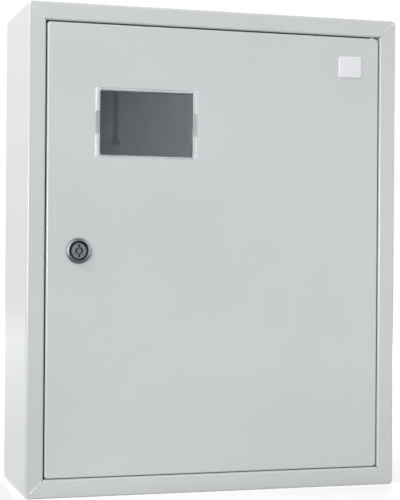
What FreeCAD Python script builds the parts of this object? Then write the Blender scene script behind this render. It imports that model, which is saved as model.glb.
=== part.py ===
import FreeCAD, Part
import math
import os

from FreeCAD import Vector

# Electric meter box: a folded steel casing that hangs on a wall, a hinged door with a reading window
# and a quarter-turn lock, and inside it a plate, a rail and terminal bars for the meter and its wiring.
# Millimetres. X runs to the right as seen from the front, Y runs towards the wall, Z runs up.
# The origin is the middle of the four wall holes, on the back face of the casing.

# Casing: one folded sheet, welded at its corners
casing_width = 400.0
casing_height = 500.0
casing_depth = 140.0
casing_sheet = 1.2
casing_bend_inside = 1.2
casing_corner = 4.0
frame_width = 18.6
stop_width = 8.0
stop_notch = 6.0
seam_width = 0.6
seam_depth = 0.4
relief_length = 2.6
wall_hole_spread_x = 340.0
wall_hole_spread_z = 450.0
wall_hole_radius = 4.25
knockout_radius = 16.0
knockout_slit = 0.9
knockout_bridge = 3.0
knockout_count = 3
knockout_pitch = 100.0

# Door: a folded pan that closes flush with the frame
door_gap = 1.4
door_gap_below = 0.7
door_depth = 12.0
door_sheet = 1.2
door_bend_inside = 0.6
door_corner_hinge_side = 4.2
door_corner_lock_side = 2.6
stop_gap = 0.6

# Hinge pins, one above and one below the door
hinge_inset = 6.0
hinge_depth = 5.0
pin_journal_radius = 1.6
pin_shoulder_radius = 2.3
pin_head_radius = 2.6
pin_head_height = 2.0
pin_reach = 3.5
pin_thrust_gap = 0.1
running_gap = 0.05

# Reading window: one clear moulding that snaps into the door
window_width = 107.4
window_height = 71.4
window_inset = 49.6
window_drop = 64.5
window_corner = 2.4
window_proud = 2.0
window_rim_side = 4.4
window_rim_top = 3.6
window_wall_side = 1.8
window_wall_top = 1.0
window_fit = 0.25
window_tray_depth = 6.0
pane_sink = 1.0
pane_thickness = 2.0
clip_height = 23.4
clip_bite = 1.5
clip_length = 3.2
clip_gap = 0.15

# Badge: a blank domed tablet stuck to the door
badge_width = 26.0
badge_height = 23.0
badge_inset = 20.2
badge_drop = 20.6
badge_thickness = 1.2
badge_corner = 3.0
badge_edge_radius = 0.6

# Quarter-turn lock
lock_inset = 32.8
lock_height = -0.7
bezel_radius = 13.0
bezel_height = 4.0
bezel_edge = 2.2
bezel_round = 1.6
rim_width = 0.7
mouth_radius = 10.2
mouth_depth = 1.4
recess_radius = 9.0
recess_depth = 7.0
lock_body_radius = 11.0
lock_flat_width = 20.0
lock_hole_fit = 0.15
lock_nut_width = 27.0
lock_nut_height = 5.0
rotor_radius = 7.7
rotor_sink = 0.6
rotor_shaft_radius = 5.5
key_hole_radius = 4.0
key_pin_radius = 2.1
key_slot_width = 2.0
key_slot_reach = 6.7
key_depth = 6.0
latch_gap = 0.8
latch_overlap = 9.0
cam_thickness = 2.5
cam_width = 15.0
cam_boss_radius = 9.0
cam_tip_round = 3.0
cam_square = 7.0
cam_square_fit = 0.1
cam_screw_radius = 2.5
cam_screw_length = 9.0
cam_washer_radius = 6.0
cam_washer_height = 1.2
cam_screw_head_width = 8.0
cam_screw_head_height = 3.5

# Mounting plate: a folded tray that stands off the back wall
plate_width = 340.0
plate_height = 420.0
plate_stand_off = 20.0
plate_sheet = 1.5
plate_bend_inside = 1.5
keyhole_columns = 3
keyhole_rows = 2
keyhole_pitch_x = 82.0
keyhole_pitch_z = 190.0
keyhole_top_z = 120.5
keyhole_bulb_radius = 5.5
keyhole_slot_width = 5.4
keyhole_slot_length = 62.0

# M6 studs with a washer and a nut
stud_radius = 3.0
stud_hole_fit = 0.5
stud_spread_x = 310.0
stud_spread_z = 390.0
stud_free_length = 10.0
washer_outer_radius = 6.0
washer_height = 1.6
washer_fit = 0.2
nut_width = 10.0
nut_height = 5.0
earth_stud_length = 20.0
casing_earth_depth = 70.0
casing_earth_height = 45.0
door_earth_inset_x = 42.0
door_earth_inset_z = 36.0

# Top-hat rail for circuit breakers
rail_length = 315.0
rail_width = 35.0
rail_crown_width = 27.0
rail_height = 7.5
rail_sheet = 1.0
rail_bend_inside = 0.5
rail_z = -125.0
rail_slot_length = 15.0
rail_slot_width = 6.2
rail_slot_pitch = 25.0
rail_screw_radius = 2.4
rail_screw_head_radius = 4.6
rail_screw_head_height = 3.0
rail_screw_length = 10.0

# Terminal bars on insulating feet, one for neutral and one for earth
bar_offset_x = 82.0
bar_z = -182.0
bar_terminals = 8
bar_pitch = 10.0
bar_end = 16.0
bar_width = 7.0
bar_thickness = 9.0
bar_wire_radius = 2.6
bar_screw_radius = 2.0
bar_screw_head_radius = 3.2
bar_screw_head_height = 2.4
bar_screw_slot = 0.9
foot_width = 12.0
foot_height = 22.0
foot_column = 11.0
foot_flange_length = 12.0
foot_flange_height = 4.0
foot_screw_length = 12.0
foot_round = 1.0

# Places worked out from the sizes above
front_y = -casing_depth
wall_face_y = -casing_sheet
casing_bend = casing_bend_inside + casing_sheet
opening_width = casing_width - 2 * frame_width
opening_top_z = casing_height / 2 - frame_width
opening_low_z = -opening_top_z + door_gap - door_gap_below
stop_face = door_depth + stop_gap
lip_depth = stop_face - casing_bend_inside
door_width = opening_width - 2 * door_gap
door_height = 2 * (opening_top_z - door_gap)
door_bend = door_bend_inside + door_sheet
pivot_x = door_width / 2 - hinge_inset
pivot_y = front_y + hinge_depth
window_x = -door_width / 2 + window_inset + window_width / 2
window_z = door_height / 2 - window_drop - window_height / 2
pane_width = window_width - 2 * window_rim_side
pane_height = window_height - 2 * window_rim_top
tray_width = pane_width + 2 * window_wall_side
tray_height = pane_height + 2 * window_wall_top
badge_x = door_width / 2 - badge_inset - badge_width / 2
badge_z = door_height / 2 - badge_drop - badge_height / 2
lock_x = -door_width / 2 + lock_inset
lock_z = lock_height
cam_face = stop_face + casing_sheet + latch_gap
lock_body_length = cam_face - pin_thrust_gap
cam_reach = lock_inset + door_gap + latch_overlap
recess_floor = recess_depth - bezel_height
plate_face_y = -plate_stand_off
bar_length = (bar_terminals - 1) * bar_pitch + 2 * bar_end
bar_back_y = plate_face_y - foot_height
bar_face_y = bar_back_y - bar_thickness


def box(low, high):
    """Box between two opposite corners."""
    size = Vector(*high) - Vector(*low)
    return Part.makeBox(size.x, size.y, size.z, Vector(*low))


def rounded_box(low, high, corner_radius, bend_radius):
    """Box whose edges along Y have one radius and the edges of its front and back faces another."""
    solid = box(low, high)
    corner_edges = [e for e in solid.Edges if e.BoundBox.YLength > bend_radius]
    solid = solid.makeFillet(corner_radius, corner_edges)
    face_edges = [e for e in solid.Edges if e.BoundBox.YLength < 1e-6]
    return solid.makeFillet(bend_radius, face_edges)


def rounded_face(corners, place):
    """Face of a polygon with corners (u, v, radius); place turns u, v into a point."""
    points = [Vector(u, v, 0) for u, v, radius in corners]
    arcs = []
    for index, (u, v, radius) in enumerate(corners):
        corner = points[index]
        back = (points[index - 1] - corner).normalize()
        onward = (points[(index + 1) % len(points)] - corner).normalize()
        half_angle = back.getAngle(onward) / 2
        run = radius / math.tan(half_angle)
        middle = corner
        if radius > 0:
            toward_centre = (back + onward).normalize()
            middle = corner + toward_centre * (radius / math.sin(half_angle) - radius)
        arcs.append((corner + back * run, middle, corner + onward * run))
    edges = []
    for index, (start, middle, end) in enumerate(arcs):
        following = arcs[(index + 1) % len(arcs)][0]
        if start.distanceToPoint(end) > 1e-6:
            spots = [place(p.x, p.y) for p in (start, middle, end)]
            edges.append(Part.Arc(*spots).toShape())
        if end.distanceToPoint(following) > 1e-6:
            edges.append(Part.makeLine(place(end.x, end.y), place(following.x, following.y)))
    return Part.Face(Part.Wire(edges))


def folded_face(path, thickness, inside_radius, place):
    """Section of a folded sheet: path is one of its faces, and its thickness lies to the left of it."""
    points = [Vector(u, v, 0) for u, v in path]
    headings = [(b - a).normalize() for a, b in zip(points, points[1:])]
    lefts = [Vector(-h.y, h.x, 0) for h in headings]
    near = [(points[0], 0.0)]
    far = [(points[0] + lefts[0] * thickness, 0.0)]
    for index in range(1, len(points) - 1):
        turn = headings[index - 1].cross(headings[index]).z
        mitre = (lefts[index - 1] + lefts[index]) * (thickness / (1 + lefts[index - 1].dot(lefts[index])))
        outside_radius = inside_radius + thickness
        near.append((points[index], outside_radius if turn > 0 else inside_radius))
        far.append((points[index] + mitre, inside_radius if turn > 0 else outside_radius))
    near.append((points[-1], 0.0))
    far.append((points[-1] + lefts[-1] * thickness, 0.0))
    corners = [(p.x, p.y, radius) for p, radius in near + far[::-1]]
    return rounded_face(corners, place)


def panel(width, height, radii, x, z, low_y, high_y):
    """Upright slab centred on x, z; radii are for its lower left, lower right, upper right, upper left."""
    signs = [(-1, -1), (1, -1), (1, 1), (-1, 1)]
    corners = [(x + i * width / 2, z + k * height / 2, r) for (i, k), r in zip(signs, radii)]
    face = rounded_face(corners, lambda u, v: Vector(u, low_y, v))
    return face.extrude(Vector(0, high_y - low_y, 0))


def turned(profile, origin, axis):
    """Solid turned from a profile of (radius, distance along the axis, corner radius)."""
    across = Vector(0, 0, 1) if abs(axis.z) < 0.5 else Vector(1, 0, 0)
    face = rounded_face(profile, lambda r, s: origin + across * r + axis * s)
    return face.revolve(origin, axis, 360)


def rod(radius, length, origin, axis):
    """Plain round bar."""
    return Part.makeCylinder(radius, length, origin, axis)


def ring(inner_radius, outer_radius, height, origin, axis):
    """Flat washer."""
    return rod(outer_radius, height, origin, axis).cut(rod(inner_radius, height, origin, axis))


def hexagon(width, height, origin, axis):
    """Hexagonal prism measured across its flats."""
    corner_radius = width / math.sqrt(3)
    across = Vector(0, 0, 1) if abs(axis.z) < 0.5 else Vector(1, 0, 0)
    aside = axis.cross(across)
    turns = [math.radians(60 * n) for n in range(7)]
    points = [origin + (across * math.cos(t) + aside * math.sin(t)) * corner_radius for t in turns]
    return Part.Face(Part.makePolygon(points)).extrude(axis * height)


def hex_nut(width, bore_radius, height, origin, axis):
    """Plain hexagonal nut."""
    return hexagon(width, height, origin, axis).cut(rod(bore_radius, height, origin, axis))


def corner_signs():
    """The four corners of the front face, as signs of x and z."""
    return [(i, k) for i in (-1, 1) for k in (-1, 1)]


def opening_level(side):
    """Height of the opening's upper edge, for side 1, or of its lower edge, for side -1."""
    return opening_top_z if side > 0 else opening_low_z


def pierce(solid, cutters):
    """Solid with all the cutters taken out of it."""
    return solid.cut(cutters).removeSplitter()


# Casing


def casing_lips():
    """Half of the front flange with the lip folded back round the opening, mitred at its corners."""
    half_width = opening_width / 2
    path = [(0, lip_depth), (0, 0), (frame_width / 2, 0)]
    section = folded_face(
        path, casing_sheet, casing_bend_inside, lambda u, v: Vector(0, front_y + v, opening_low_z - u)
    )
    stations = [(0, -1), (1, -1), (1, 1), (-1, 1), (-1, -1), (0, -1)]
    points = [Vector(i * half_width, front_y, opening_level(k)) for i, k in stations]
    edges = [Part.makeLine(a, b) for a, b in zip(points, points[1:])]
    mitred_corners = 1
    return Part.Wire(edges).makePipeShell([section.OuterWire], True, False, mitred_corners)


def casing_stop():
    """Flange on the lock side that the door closes against and the cam hooks behind."""
    path = [(-stop_width, stop_face), (0, stop_face), (0, lip_depth)]
    low_z = opening_low_z + stop_notch
    high_z = opening_top_z - stop_notch
    section = folded_face(
        path,
        casing_sheet,
        casing_bend_inside,
        lambda u, v: Vector(-opening_width / 2 - u, front_y + v, low_z),
    )
    return section.extrude(Vector(0, 0, high_z - low_z))


def casing_seams():
    """Welded mitre lines on the four corners of the frame, each ending in a relief slit at the opening."""
    cutters = []
    diagonal = frame_width * math.sqrt(2)
    for i, k in corner_signs():
        corner = Vector(i * opening_width / 2, 0, opening_level(k))
        angle = math.degrees(math.atan2(k, i))
        groove = box((0, front_y, -seam_width / 2), (diagonal, front_y + seam_depth, seam_width / 2))
        relief = box((-diagonal, front_y, -seam_width / 2), (relief_length, front_y + stop_face, seam_width / 2))
        for cutter in (groove, relief):
            cutter.rotate(Vector(0, 0, 0), Vector(0, -1, 0), angle)
            cutter.translate(corner)
            cutters.append(cutter)
    return cutters


def wall_holes():
    """Four holes in the back wall for screws into the wall."""
    spots = [(i * wall_hole_spread_x / 2, k * wall_hole_spread_z / 2) for i, k in corner_signs()]
    return [rod(wall_hole_radius, casing_sheet, Vector(x, 0, z), Vector(0, -1, 0)) for x, z in spots]


def knockouts():
    """Punched rings in the bottom wall, each disc held by two bridges until it is knocked out for a cable."""
    up = Vector(0, 0, 1)
    cutters = []
    for n in range(knockout_count):
        x = (n - (knockout_count - 1) / 2) * knockout_pitch
        foot = Vector(x, front_y / 2, -casing_height / 2)
        slit = ring(knockout_radius, knockout_radius + knockout_slit, casing_sheet, foot, up)
        reach = knockout_radius + 2 * knockout_slit
        bridge = box(
            (x - reach, foot.y - knockout_bridge / 2, foot.z),
            (x + reach, foot.y + knockout_bridge / 2, foot.z + casing_sheet),
        )
        cutters.append(slit.cut(bridge))
    return cutters


def lip_pin_holes():
    """Holes for the hinge pins through the upper and lower lips."""
    radius = pin_shoulder_radius + running_gap
    low = Vector(pivot_x, pivot_y, opening_low_z - 2 * casing_sheet)
    high = Vector(pivot_x, pivot_y, opening_top_z - casing_sheet)
    length = 3 * casing_sheet
    return [rod(radius, length, spot, Vector(0, 0, 1)) for spot in (low, high)]


def casing():
    half_width = casing_width / 2
    half_height = casing_height / 2
    outside = rounded_box(
        (-half_width, front_y, -half_height), (half_width, 0, half_height), casing_corner, casing_bend
    )
    inside = rounded_box(
        (-half_width + casing_sheet, front_y + casing_sheet, -half_height + casing_sheet),
        (half_width - casing_sheet, wall_face_y, half_height - casing_sheet),
        casing_corner - casing_sheet,
        casing_bend_inside,
    )
    mouth_half_width = opening_width / 2 + frame_width / 2
    mouth = box(
        (-mouth_half_width, front_y, opening_low_z - frame_width / 2),
        (mouth_half_width, front_y + casing_sheet, opening_top_z + frame_width / 2),
    )
    shell = outside.cut([inside, mouth]).fuse([casing_lips(), casing_stop()])
    return pierce(shell, casing_seams() + wall_holes() + knockouts() + lip_pin_holes())


# Mounting plate and its fixings


def keyhole(x, z):
    """Cutter for a slot that rises from a round bulb wide enough for a screw head."""
    length = 2 * plate_sheet
    start = Vector(x, plate_face_y - plate_sheet / 2, z)
    inward = Vector(0, 1, 0)
    bulb = rod(keyhole_bulb_radius, length, start, inward)
    half_slot = keyhole_slot_width / 2
    top = z + keyhole_slot_length
    slot = box((x - half_slot, start.y, z), (x + half_slot, start.y + length, top))
    end = rod(half_slot, length, Vector(x, start.y, top), inward)
    return bulb.fuse([slot, end])


def keyholes():
    columns = [(n - (keyhole_columns - 1) / 2) * keyhole_pitch_x for n in range(keyhole_columns)]
    rows = [keyhole_top_z - n * keyhole_pitch_z for n in range(keyhole_rows)]
    return [keyhole(x, z) for x in columns for z in rows]


def stud_spots():
    return [(i * stud_spread_x / 2, k * stud_spread_z / 2) for i, k in corner_signs()]


def plate_holes(spots, radius):
    """Cutters for round holes through the plate."""
    start_y = plate_face_y - plate_sheet / 2
    return [rod(radius, 2 * plate_sheet, Vector(x, start_y, z), Vector(0, 1, 0)) for x, z in spots]


def mounting_plate():
    half_width = plate_width / 2
    path = [
        (half_width, casing_sheet),
        (half_width, plate_stand_off),
        (-half_width, plate_stand_off),
        (-half_width, casing_sheet),
    ]
    section = folded_face(
        path, plate_sheet, plate_bend_inside, lambda u, v: Vector(u, -v, -plate_height / 2)
    )
    tray = section.extrude(Vector(0, 0, plate_height))
    holes = plate_holes(stud_spots(), stud_radius + stud_hole_fit)
    holes += plate_holes(rail_screw_spots(), rail_screw_radius + running_gap)
    holes += plate_holes(foot_screw_spots(), bar_screw_radius + running_gap)
    return pierce(tray, keyholes() + holes)


def plate_studs():
    length = plate_stand_off - casing_sheet + stud_free_length
    spots = [Vector(x, wall_face_y, z) for x, z in stud_spots()]
    return Part.makeCompound([rod(stud_radius, length, spot, Vector(0, -1, 0)) for spot in spots])


def plate_washers():
    spots = [Vector(x, plate_face_y, z) for x, z in stud_spots()]
    return Part.makeCompound([stud_washer(spot, Vector(0, -1, 0)) for spot in spots])


def plate_nuts():
    spots = [Vector(x, plate_face_y - washer_height, z) for x, z in stud_spots()]
    return Part.makeCompound([stud_nut(spot, Vector(0, -1, 0)) for spot in spots])


def stud_washer(origin, axis):
    return ring(stud_radius + washer_fit, washer_outer_radius, washer_height, origin, axis)


def stud_nut(origin, axis):
    return hex_nut(nut_width, stud_radius + running_gap, nut_height, origin, axis)


# Rail for circuit breakers


def rail_slot_places():
    """Middles of the rail's slots along X, evenly spread about the middle of the rail."""
    count = int((rail_length - rail_slot_pitch) / rail_slot_pitch)
    return [(n - (count - 1) / 2) * rail_slot_pitch for n in range(count)]


def rail_screw_spots():
    """The rail is screwed down through its second slot from each end."""
    places = rail_slot_places()
    return [(x, rail_z) for x in (places[1], places[-2])]


def din_rail():
    lip = rail_width / 2
    crown = rail_crown_width / 2
    brim = rail_height - rail_sheet
    path = [(-lip, brim), (-crown, brim), (-crown, 0), (crown, 0), (crown, brim), (lip, brim)]
    section = folded_face(
        path,
        rail_sheet,
        rail_bend_inside,
        lambda u, v: Vector(-rail_length / 2, plate_face_y - v, rail_z + u),
    )
    rail = section.extrude(Vector(rail_length, 0, 0))
    end = rail_slot_width / 2
    slots = [
        panel(
            rail_slot_length,
            rail_slot_width,
            [end * 0.999] * 4,
            x,
            rail_z,
            plate_face_y - 2 * rail_sheet,
            plate_face_y,
        )
        for x in rail_slot_places()
    ]
    return pierce(rail, slots)


def rail_screws():
    outward = Vector(0, -1, 0)
    screws = []
    for x, z in rail_screw_spots():
        seat = Vector(x, plate_face_y - rail_sheet, z)
        head = rod(rail_screw_head_radius, rail_screw_head_height, seat, outward)
        screws.append(head.fuse(rod(rail_screw_radius, rail_screw_length, seat, Vector(0, 1, 0))).removeSplitter())
    return Part.makeCompound(screws)


# Terminal bars


def bar_terminal_places(middle_x):
    return [middle_x + (n - (bar_terminals - 1) / 2) * bar_pitch for n in range(bar_terminals)]


def bar_end_places(middle_x):
    """Middles of the two feet under a bar."""
    reach = bar_length / 2 - foot_width / 2
    return [middle_x - reach, middle_x + reach]


def foot_screw_spots():
    """Screws through the flanges of all the feet, into the plate."""
    z = bar_z - foot_column / 2 - foot_flange_length / 2
    return [(x, z) for middle_x in (-bar_offset_x, bar_offset_x) for x in bar_end_places(middle_x)]


def terminal_bar(middle_x):
    half_length = bar_length / 2
    half_width = bar_width / 2
    bar = box(
        (middle_x - half_length, bar_face_y, bar_z - half_width),
        (middle_x + half_length, bar_back_y, bar_z + half_width),
    )
    middle_y = (bar_face_y + bar_back_y) / 2
    up = Vector(0, 0, 1)
    inward = Vector(0, 1, 0)
    hole_radius = bar_screw_radius + running_gap
    cutters = []
    for x in bar_terminal_places(middle_x):
        cutters.append(rod(bar_wire_radius, bar_width, Vector(x, middle_y, bar_z - half_width), up))
        cutters.append(rod(hole_radius, bar_thickness / 2, Vector(x, bar_face_y, bar_z), inward))
    for x in bar_end_places(middle_x):
        cutters.append(rod(hole_radius, bar_thickness, Vector(x, bar_face_y, bar_z), inward))
    return pierce(bar, cutters)


def bar_feet(middle_x):
    """Two insulating feet, each a column under the bar with a flange screwed to the plate."""
    low_z = bar_z - foot_column / 2 - foot_flange_length
    high_z = bar_z + foot_column / 2
    column_z = bar_z - foot_column / 2
    feet = []
    for x in bar_end_places(middle_x):
        corners = [
            (low_z, 0, 0),
            (high_z, 0, 0),
            (high_z, foot_height, foot_round),
            (column_z, foot_height, foot_round),
            (column_z, foot_flange_height, foot_round),
            (low_z, foot_flange_height, foot_round),
        ]
        low_x = x - foot_width / 2
        face = rounded_face(corners, lambda u, v: Vector(low_x, plate_face_y - v, u))
        foot = face.extrude(Vector(foot_width, 0, 0))
        hole_radius = bar_screw_radius + running_gap
        flange_z = column_z - foot_flange_length / 2
        flange_hole = rod(hole_radius, foot_flange_height, Vector(x, plate_face_y, flange_z), Vector(0, -1, 0))
        seat_hole = rod(hole_radius, foot_height / 2, Vector(x, bar_back_y, bar_z), Vector(0, 1, 0))
        feet.append(pierce(foot, [flange_hole, seat_hole]))
    return Part.makeCompound(feet)


def slotted_screw(seat, length):
    """Screw with a slotted head, driven towards the wall; seat is the middle of the face under its head."""
    outward = Vector(0, -1, 0)
    head = rod(bar_screw_head_radius, bar_screw_head_height, seat, outward)
    half_slot = bar_screw_slot / 2
    slot_floor = seat.y - bar_screw_head_height / 2
    slot_top = seat.y - bar_screw_head_height
    slot = box(
        (seat.x - half_slot, slot_top, seat.z - bar_screw_head_radius),
        (seat.x + half_slot, slot_floor, seat.z + bar_screw_head_radius),
    )
    return head.cut(slot).fuse(rod(bar_screw_radius, length, seat, Vector(0, 1, 0))).removeSplitter()


def bar_screws(middle_x):
    """Terminal screws that clamp the wires, and the two that hold the bar to its feet."""
    clamp_length = bar_thickness / 2 - bar_wire_radius
    fixing_length = bar_thickness + foot_height / 2
    clamps = [(x, clamp_length) for x in bar_terminal_places(middle_x)]
    fixings = [(x, fixing_length) for x in bar_end_places(middle_x)]
    screws = [slotted_screw(Vector(x, bar_face_y, bar_z), length) for x, length in clamps + fixings]
    return Part.makeCompound(screws)


def foot_screws():
    seat_y = plate_face_y - foot_flange_height
    screws = [slotted_screw(Vector(x, seat_y, z), foot_screw_length) for x, z in foot_screw_spots()]
    return Part.makeCompound(screws)


# Earthing studs


def casing_earth_seat():
    z = -casing_height / 2 + casing_earth_height
    return Vector(-casing_width / 2 + casing_sheet, front_y + casing_earth_depth, z)


def door_earth_seat():
    x = door_width / 2 - door_earth_inset_x
    z = -door_height / 2 + door_earth_inset_z
    return Vector(x, front_y + door_sheet, z)


def earth_stud(seat, axis):
    return rod(stud_radius, earth_stud_length, seat, axis)


def earth_washer(seat, axis):
    return stud_washer(seat, axis)


def earth_nut(seat, axis):
    return stud_nut(seat + axis * washer_height, axis)


# Hinge pins


def hinge_pin(side):
    """Shouldered pin held in a lip, with its journal in the door; side is 1 above the door, -1 below."""
    start = Vector(pivot_x, pivot_y, side * door_height / 2)
    lip_back = casing_sheet + (door_gap if side > 0 else door_gap_below)
    profile = [
        (0, -door_sheet - pin_reach, 0),
        (pin_journal_radius, -door_sheet - pin_reach, 0),
        (pin_journal_radius, pin_thrust_gap, 0),
        (pin_shoulder_radius, pin_thrust_gap, 0),
        (pin_shoulder_radius, lip_back, 0),
        (pin_head_radius, lip_back, 0),
        (pin_head_radius, lip_back + pin_head_height, 0),
        (0, lip_back + pin_head_height, 0),
    ]
    return turned(profile, start, Vector(0, 0, side))


# Door


def door_blank(shrink, corner_shrink, low_y, high_y, bend):
    """Slab of the door's outline with its front edge rounded, made smaller all round by shrink."""
    lock_side = door_corner_lock_side - corner_shrink
    hinge_side = door_corner_hinge_side - corner_shrink
    radii = [lock_side, hinge_side, hinge_side, lock_side]
    slab = panel(door_width - 2 * shrink, door_height - 2 * shrink, radii, 0, 0, low_y, high_y)
    front_edges = [e for e in slab.Edges if abs(e.BoundBox.YMax - low_y) < 1e-6]
    return slab.makeFillet(bend, front_edges)


def lock_cutout():
    """Round hole with two flats for the body of the lock."""
    radius = lock_body_radius + lock_hole_fit
    half_flat = lock_flat_width / 2 + lock_hole_fit
    hole = rod(radius, door_sheet, Vector(lock_x, front_y, lock_z), Vector(0, 1, 0))
    keep = box(
        (lock_x - half_flat, front_y, lock_z - 2 * radius),
        (lock_x + half_flat, front_y + door_sheet, lock_z + 2 * radius),
    )
    return hole.common(keep)


def window_cutout():
    width = tray_width + 2 * window_fit
    height = tray_height + 2 * window_fit
    radius = window_corner - window_fit
    return panel(width, height, [radius] * 4, window_x, window_z, front_y, front_y + door_sheet)


def door_pin_holes():
    radius = pin_journal_radius + running_gap
    low = Vector(pivot_x, pivot_y, -door_height / 2)
    high = Vector(pivot_x, pivot_y, door_height / 2 - door_sheet)
    return [rod(radius, door_sheet, spot, Vector(0, 0, 1)) for spot in (low, high)]


def door():
    back_y = front_y + door_depth
    outside = door_blank(0, 0, front_y, back_y, door_bend)
    inside = door_blank(door_sheet, door_sheet, front_y + door_sheet, back_y, door_bend_inside)
    return pierce(outside.cut(inside), [lock_cutout(), window_cutout()] + door_pin_holes())


# Window and badge


def window_clip(side):
    """Snap hook on one side of the window's tray, with a ramp that lets it pass the door's cutout."""
    root = tray_width / 2 - window_wall_side / 2
    tip = tray_width / 2 + window_fit + clip_bite
    seat = door_sheet + clip_gap
    corners = [(root, seat, 0), (tip, seat, 0), (tray_width / 2, seat + clip_length, 0), (root, seat + clip_length, 0)]
    low_z = window_z - clip_height / 2
    face = rounded_face(corners, lambda u, v: Vector(window_x + side * u, front_y + v, low_z))
    return face.extrude(Vector(0, 0, clip_height))


def clip_window(side):
    """Cutter for the gap in the rim in front of a snap hook."""
    inner = window_x + side * pane_width / 2
    outer = window_x + side * window_width / 2
    return box(
        (min(inner, outer), front_y - window_proud, window_z - clip_height / 2),
        (max(inner, outer), front_y, window_z + clip_height / 2),
    )


def meter_window():
    corner = window_corner
    tray_corner = window_corner - window_fit
    rim_y = front_y - window_proud
    tray_back_y = front_y + window_tray_depth
    pane_y = front_y + pane_sink
    rim = panel(window_width, window_height, [corner] * 4, window_x, window_z, rim_y, front_y)
    tray = panel(tray_width, tray_height, [tray_corner] * 4, window_x, window_z, front_y, tray_back_y)
    inner_corner = tray_corner - min(window_wall_side, window_wall_top)
    bowl = panel(pane_width, pane_height, [inner_corner] * 4, window_x, window_z, rim_y, pane_y)
    pocket_y = pane_y + pane_thickness
    pocket = panel(pane_width, pane_height, [inner_corner] * 4, window_x, window_z, pocket_y, tray_back_y)
    moulding = rim.fuse([tray, window_clip(-1), window_clip(1)])
    return pierce(moulding, [bowl, pocket, clip_window(-1), clip_window(1)])


def badge():
    face_y = front_y - badge_thickness
    tablet = panel(badge_width, badge_height, [badge_corner] * 4, badge_x, badge_z, face_y, front_y)
    face_edges = [e for e in tablet.Edges if abs(e.BoundBox.YMax - face_y) < 1e-6]
    return tablet.makeFillet(badge_edge_radius, face_edges)


# Lock


def lock_point(depth):
    """Point on the axis of the lock, measured inwards from the face of the door."""
    return Vector(lock_x, front_y + depth, lock_z)


def lock_housing():
    bore_radius = rotor_shaft_radius + running_gap
    rim_radius = mouth_radius + rim_width
    profile = [
        (bore_radius, recess_floor, 0),
        (recess_radius, recess_floor, 0),
        (recess_radius, mouth_depth - bezel_height, 0),
        (mouth_radius, -bezel_height, 0),
        (rim_radius, -bezel_height, bezel_round / 2),
        (bezel_radius, -bezel_edge, bezel_round),
        (bezel_radius, 0, 0),
        (lock_body_radius, 0, 0),
        (lock_body_radius, lock_body_length, 0),
        (bore_radius, lock_body_length, 0),
    ]
    housing = turned(profile, lock_point(0), Vector(0, 1, 0))
    flats = []
    for side in (-1, 1):
        edges = sorted([lock_x + side * lock_flat_width / 2, lock_x + side * bezel_radius])
        flats.append(
            box(
                (edges[0], front_y, lock_z - bezel_radius),
                (edges[1], front_y + lock_body_length, lock_z + bezel_radius),
            )
        )
    return pierce(housing, flats)


def lock_nut():
    return hex_nut(lock_nut_width, lock_body_radius + running_gap, lock_nut_height, lock_point(door_sheet), Vector(0, 1, 0))


def lock_rotor():
    """Turning insert: a keyway for a two-winged key in front, a square for the cam behind."""
    inward = Vector(0, 1, 0)
    face_depth = rotor_sink - bezel_height
    head_length = recess_floor - pin_thrust_gap - face_depth
    head = rod(rotor_radius, head_length, lock_point(face_depth), inward)
    shaft_start = face_depth + head_length
    shaft = rod(rotor_shaft_radius, cam_face - shaft_start, lock_point(shaft_start), inward)
    half_square = cam_square / 2
    square_end = cam_face + cam_thickness - cam_square_fit
    square = box(
        (lock_x - half_square, front_y + cam_face, lock_z - half_square),
        (lock_x + half_square, front_y + square_end, lock_z + half_square),
    )
    key_ring = ring(key_pin_radius, key_hole_radius, key_depth, lock_point(face_depth), inward)
    key_slot = box(
        (lock_x - key_slot_width / 2, front_y + face_depth, lock_z - key_slot_reach),
        (lock_x + key_slot_width / 2, front_y + face_depth + key_depth, lock_z + key_slot_reach),
    )
    key_pin = rod(key_pin_radius, key_depth, lock_point(face_depth), inward)
    thread_start = cam_face + cam_thickness - cam_screw_length
    thread = rod(cam_screw_radius + running_gap, cam_screw_length, lock_point(thread_start), inward)
    rotor = head.fuse([shaft, square])
    return pierce(rotor, [key_ring, key_slot.cut(key_pin), thread])


def lock_cam():
    """Latch plate, hanging down at rest and turned a quarter to the left to lock."""
    inward = Vector(0, 1, 0)
    boss = rod(cam_boss_radius, cam_thickness, lock_point(cam_face), inward)
    half_width = cam_width / 2
    low_z = lock_z - cam_reach
    corners = [
        (lock_x - half_width, low_z, cam_tip_round),
        (lock_x + half_width, low_z, cam_tip_round),
        (lock_x + half_width, lock_z, 0),
        (lock_x - half_width, lock_z, 0),
    ]
    face = rounded_face(corners, lambda u, v: Vector(u, front_y + cam_face, v))
    arm = face.extrude(Vector(0, cam_thickness, 0))
    half_square = cam_square / 2 + cam_square_fit
    hole = box(
        (lock_x - half_square, front_y + cam_face, lock_z - half_square),
        (lock_x + half_square, front_y + cam_face + cam_thickness, lock_z + half_square),
    )
    return pierce(boss.fuse(arm), [hole])


def cam_washer():
    seat = lock_point(cam_face + cam_thickness)
    return ring(cam_screw_radius + washer_fit, cam_washer_radius, cam_washer_height, seat, Vector(0, 1, 0))


def cam_screw():
    inward = Vector(0, 1, 0)
    seat = lock_point(cam_face + cam_thickness + cam_washer_height)
    head = hexagon(cam_screw_head_width, cam_screw_head_height, seat, inward)
    shank_length = cam_screw_length + cam_washer_height - pin_thrust_gap
    return head.fuse(rod(cam_screw_radius, shank_length, seat, Vector(0, -1, 0))).removeSplitter()


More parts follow.
